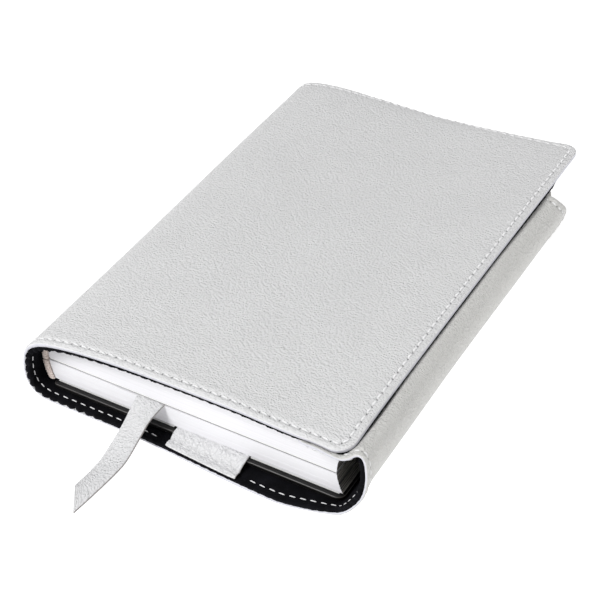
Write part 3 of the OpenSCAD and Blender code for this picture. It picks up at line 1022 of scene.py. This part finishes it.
def spine_cloth():
    """Cloth over the book's spine and a ribbed band at the tail and the head, for each half of the block."""
    halves = (("lower", PAGES_Z, LOWER_TOP, "root"), ("upper", 12.75, UPPER_TOP, "upper_pages_body"))
    for half, z0, z1, body in halves:
        # cloth
        n_z, n_y = 18, 48
        verts, grid = [], {}
        for side in (0, 1):
            for i, z in enumerate(np.linspace(z0, z1, n_z + 1)):
                d = z - BLOCK_MID
                for j, y in enumerate(np.linspace(PAGE_Y0, PAGE_Y1, n_y + 1)):
                    outer = 1.75 + 0.12 * math.sin(y * 0.9) * math.sin(z * 1.4)
                    rad = BLOCK_R + (0.15 if side == 0 else outer)
                    grid[side, i, j] = len(verts)
                    verts.append((BLOCK_X0 + BLOCK_R - math.sqrt(rad**2 - d**2), y, z))
        faces = []
        for i in range(n_z):
            for j in range(n_y):
                for side in (0, 1):
                    q = [grid[side, i, j], grid[side, i, j + 1]]
                    q += [grid[side, i + 1, j + 1], grid[side, i + 1, j]]
                    faces.append(tuple(q if side == 0 else reversed(q)))
        for i in range(n_z):
            for j in (0, n_y):
                faces.append((grid[0, i, j], grid[0, i + 1, j], grid[1, i + 1, j], grid[1, i, j]))
        for j in range(n_y):
            for i in (0, n_z):
                faces.append((grid[0, i, j], grid[1, i, j], grid[1, i, j + 1], grid[0, i, j + 1]))
        o = mesh_object(half + "_spine_cover", row(verts), faces, MAT["cloth"])
        finish_mesh(o)
        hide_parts(half + "_spine_cloth")
        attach(o, body)
        # ribbed bands: a fat cord wound with thread
        verts, faces = [], []
        for y in (PAGE_Y0 - 0.45, PAGE_Y1 + 0.45):
            n = int((z1 - z0) / 0.16)
            first = len(verts)
            for z in np.linspace(z0 + 0.1, z1 - 0.1, n + 1):
                d = z - BLOCK_MID
                cx = BLOCK_X0 + BLOCK_R - math.sqrt((BLOCK_R + 1.0) ** 2 - d**2)
                rib = 1 + 0.14 * math.cos(2 * math.pi * (z - z0) / 0.95)
                for a in np.linspace(0, 2 * math.pi, 12, endpoint=False):
                    c, s = math.cos(a), math.sin(a)
                    verts.append((cx + 1.15 * rib * c, y + 0.5 * rib * s, z + 0.12 * s))
            for i in range(n):
                lo, hi = first + i * 12, first + (i + 1) * 12
                for j in range(12):
                    k = (j + 1) % 12
                    faces.append((lo + j, lo + k, hi + k, hi + j))
            faces.append(tuple(first + j for j in reversed(range(12))))
            faces.append(tuple(first + n * 12 + j for j in range(12)))
        o = mesh_object(half + "_ribbed_bands", row(verts), faces, MAT["cloth"])
        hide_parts(half + "_bands")
        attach(o, body)


# ---------------------------------------------------------------- straps and ribbon
def strip_mesh(name, centre, width_dir, up, half_w, thick, mat, uv_len, rim=0.25, n_w=14, edge_lift=None):
    """A leather strip along a line of points, closed, with rounded long edges."""
    n = len(centre)
    ts = np.linspace(-1, 1, n_w + 1)
    ts = np.sign(ts) * (1 - (1 - np.abs(ts)) ** 1.25)
    verts, grid = [], {}
    uv = []
    for side in (0, 1):
        for i in range(n):
            for j, t in enumerate(ts):
                d = (1 - abs(t)) * half_w
                drop = 0.2 * thick * (1 - math.sqrt(max(0, 1 - max(0, 1 - d / rim) ** 2)))
                h = (0.5 * thick - drop) * (1 if side == 0 else -1)
                if edge_lift is not None:
                    h += edge_lift(i, t)
                grid[side, i, j] = len(verts)
                verts.append(centre[i] + width_dir[i] * (t * half_w) + up[i] * h)
                uv.append((t * half_w * MM, uv_len[i] * MM))
    faces = []
    for i in range(n - 1):
        for j in range(n_w):
            a = [grid[0, i, j], grid[0, i, j + 1], grid[0, i + 1, j + 1], grid[0, i + 1, j]]
            b = [grid[1, i, j], grid[1, i + 1, j], grid[1, i + 1, j + 1], grid[1, i, j + 1]]
            faces += [tuple(a), tuple(b)]
        for j in (0, n_w):
            faces.append((grid[0, i, j], grid[0, i + 1, j], grid[1, i + 1, j], grid[1, i, j]))
    for j in range(n_w):
        for i in (0, n - 1):
            faces.append((grid[0, i, j], grid[1, i, j], grid[1, i, j + 1], grid[0, i, j + 1]))
    o = mesh_object(name, row(np.array(verts)), faces, mat, uv)
    o.data.materials.append(MAT["strip_edge"])
    per_row = 2 * n_w + 2
    for f in o.data.polygons[:(n - 1) * per_row]:
        f.material_index = int(f.index % per_row >= 2 * n_w)
    finish_mesh(o)
    return o


def ribbon():
    """The leather ribbon marker: from between the leaves, over the tail edge and down to the table."""
    pts = [(45, 66, 11.75), (45, 40, 11.75), (45, 20, 11.75), (44.9, 10, 11.8), (44.8, 7.2, 11.95),
           (44.5, 4.5, 11.1), (44.2, 1, 9.4), (44, -3.3, 6.9), (43.8, -8, 4.5), (43.8, -13.4, 2.65),
           (43.6, -19, 2.2), (43.1, -26, 2.15), (42.5, -32.2, 2.15)]
    line, length = spline(pts, 150)
    d = unit(np.gradient(line, axis=0))
    s = np.linspace(0, length, len(line))
    width = unit(np.cross(d, [0, 0, 1]))
    # outside the pages it twists, its right edge up
    tw = -0.34 * smooth(-line[:, 1], -8.5, 1.5)
    up = np.cross(width, d)
    w2 = width * np.cos(tw)[:, None] + up * np.sin(tw)[:, None]
    up = np.cross(w2, d)
    o = strip_mesh("ribbon_marker", line, w2, up, 5.0, 0.8, MAT["ribbon"], s)
    # cut the end at a slant: shift the last points along the strip by their side
    me = o.data
    end = row(line[-1])
    dirn = d[-1]
    side = w2[-1]
    for v in me.vertices:
        p = np.array(v.co) - end
        back = -float(p @ dirn)
        if back < 0.014:
            t = float(p @ side) / (5.0 * MM)
            f = max(0, 1 - back / 0.014)
            v.co = v.co - Vector((dirn * (0.0056 * t * f)).tolist())
    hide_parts("ribbon_inner", "ribbon_tail")
    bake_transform(o)


def strap_line(sewn, raised):
    """Middle line of a strap in y and z from the tail end to the head end."""
    rise = raised - sewn
    half = [(0.05, sewn), (1.4, sewn - 0.02), (2.7, sewn + 0.02), (3.5, sewn + 0.3 * rise),
            (4.3, sewn + 0.75 * rise), (5.4, sewn + 0.99 * rise), (7.5, raised), (30, raised), (60, raised)]
    return half + [(90, raised)] + [(H - y, z) for y, z in reversed(half)]


def straps():
    """Leather over the boards' ends: the back strap is sewn to the lining, the front one is hidden."""
    for name, body, old in (("back_board_strap", "root", ["back_strap", "back_strap_seam"]),
                            ("front_board_strap", "front_cover", ["front_strap"])):
        back = name.startswith("back")
        if back:
            points = strap_line(2.95, 4.63)
        else:
            panel = s_at(67, 30.8)
            ends = [(y, surface(panel, y)[2] - SKIN - 0.38) for y in (2.6, 3.8, 176.2, 177.4)]
            flat = BOARD_Z - 0.42 + 55 * math.tan(BOARD_TILT)
            points = ends[:2] + [(y, flat) for y in (5.6, 8, 90, 172, 174.4)] + ends[2:]
        line, length = spline([(0, y, z) for y, z in points], 190)
        s = np.linspace(0, length, len(line))
        width = np.tile([1.0, 0, 0], (len(line), 1))
        up = np.cross(width, unit(np.gradient(line, axis=0)))
        from_end = np.minimum(s, length - s)

        def lift(i, t, from_end=from_end, back=back):
            """The strap's ends: puffed outside the seam, drawn in at it and raised at the corners."""
            e = from_end[i]
            puff = 0.3 * math.exp(-((e - 1.3) / 1.0) ** 2) - 0.42 * math.exp(-((e - SEAM) / 0.5) ** 2)
            corner = 0.3 * math.exp(-((1 - abs(t)) * 13 / 1.2)) * math.exp(-((e - 1.6) / 2.0) ** 2)
            return (puff + corner) * (1 if back else -1)
        centre = line + [67.5, 0, 0]
        o = strip_mesh(name, centre, width, up, 13.2, 0.66, MAT["ribbon"], s, 0.3, 26, lift)
        v = np.array([q.co for q in o.data.vertices]) / MM + [W / 2, H / 2, 0]
        if back:
            v[:, 1] += tail_edge(s_back(v[:, 0])) * (1 - smooth(v[:, 1], 3, 5.8))
        else:
            lean = (v[:, 0] - 67) * math.tan(BOARD_TILT)
            v[:, 2] += lean * smooth(v[:, 1], 3, 6) * (1 - smooth(v[:, 1], 174, 177))
        o.data.vertices.foreach_set("co", row(v).astype(np.float32).ravel())
        o.data.update()
        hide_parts(*old)
        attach(o, body)
        if back:
            strap_stitches()


def strap_stitches():
    """Seven stitches at each end of the back strap."""
    sewn = Thread()
    t = np.linspace(-STITCH / 2, STITCH / 2, 9)
    z = 3.12 - 0.5 * (np.abs(t) / (STITCH / 2)) ** 4
    across, up = np.tile([0, 1.0, 0], (9, 1)), np.tile([0, 0, 1.0], (9, 1))
    for y in (SEAM + 0.15, H - SEAM - 0.15):
        for i in range(7):
            x = 56.6 + i * PITCH + t
            slant = tail_edge(s_back(x)) if y < 90 else 0.1 * t
            sewn.add(tube(np.stack([x, y + slant, z], 1), across, up, 0.26, 0.2), i)
    o = sewn.mesh("strap_stitches")
    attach(o, "root")


def floor():
    me = bpy.data.meshes.new("Floor")
    corners = [(-4, -4, -0.0003), (4, -4, -0.0003), (4, 4, -0.0003), (-4, 4, -0.0003)]
    me.from_pydata(corners, [], [(0, 1, 2, 3)])
    o = bpy.data.objects.new("Floor", me)
    scene.collection.objects.link(o)
    m = bpy.data.materials.new("Floor")
    m.use_nodes = True
    p = m.node_tree.nodes["Principled BSDF"]
    p.inputs["Base Color"].default_value = (0.5, 0.5, 0.5, 1)
    p.inputs["Roughness"].default_value = 1
    p.inputs["Specular IOR Level"].default_value = 0
    p.inputs["Emission Color"].default_value = (1, 1, 1, 1)
    p.inputs["Emission Strength"].default_value = 0.8
    me.materials.append(m)


camera()
lights()
materials()
floor()
cover()
block()
boards()
spine_cloth()
straps()
ribbon()
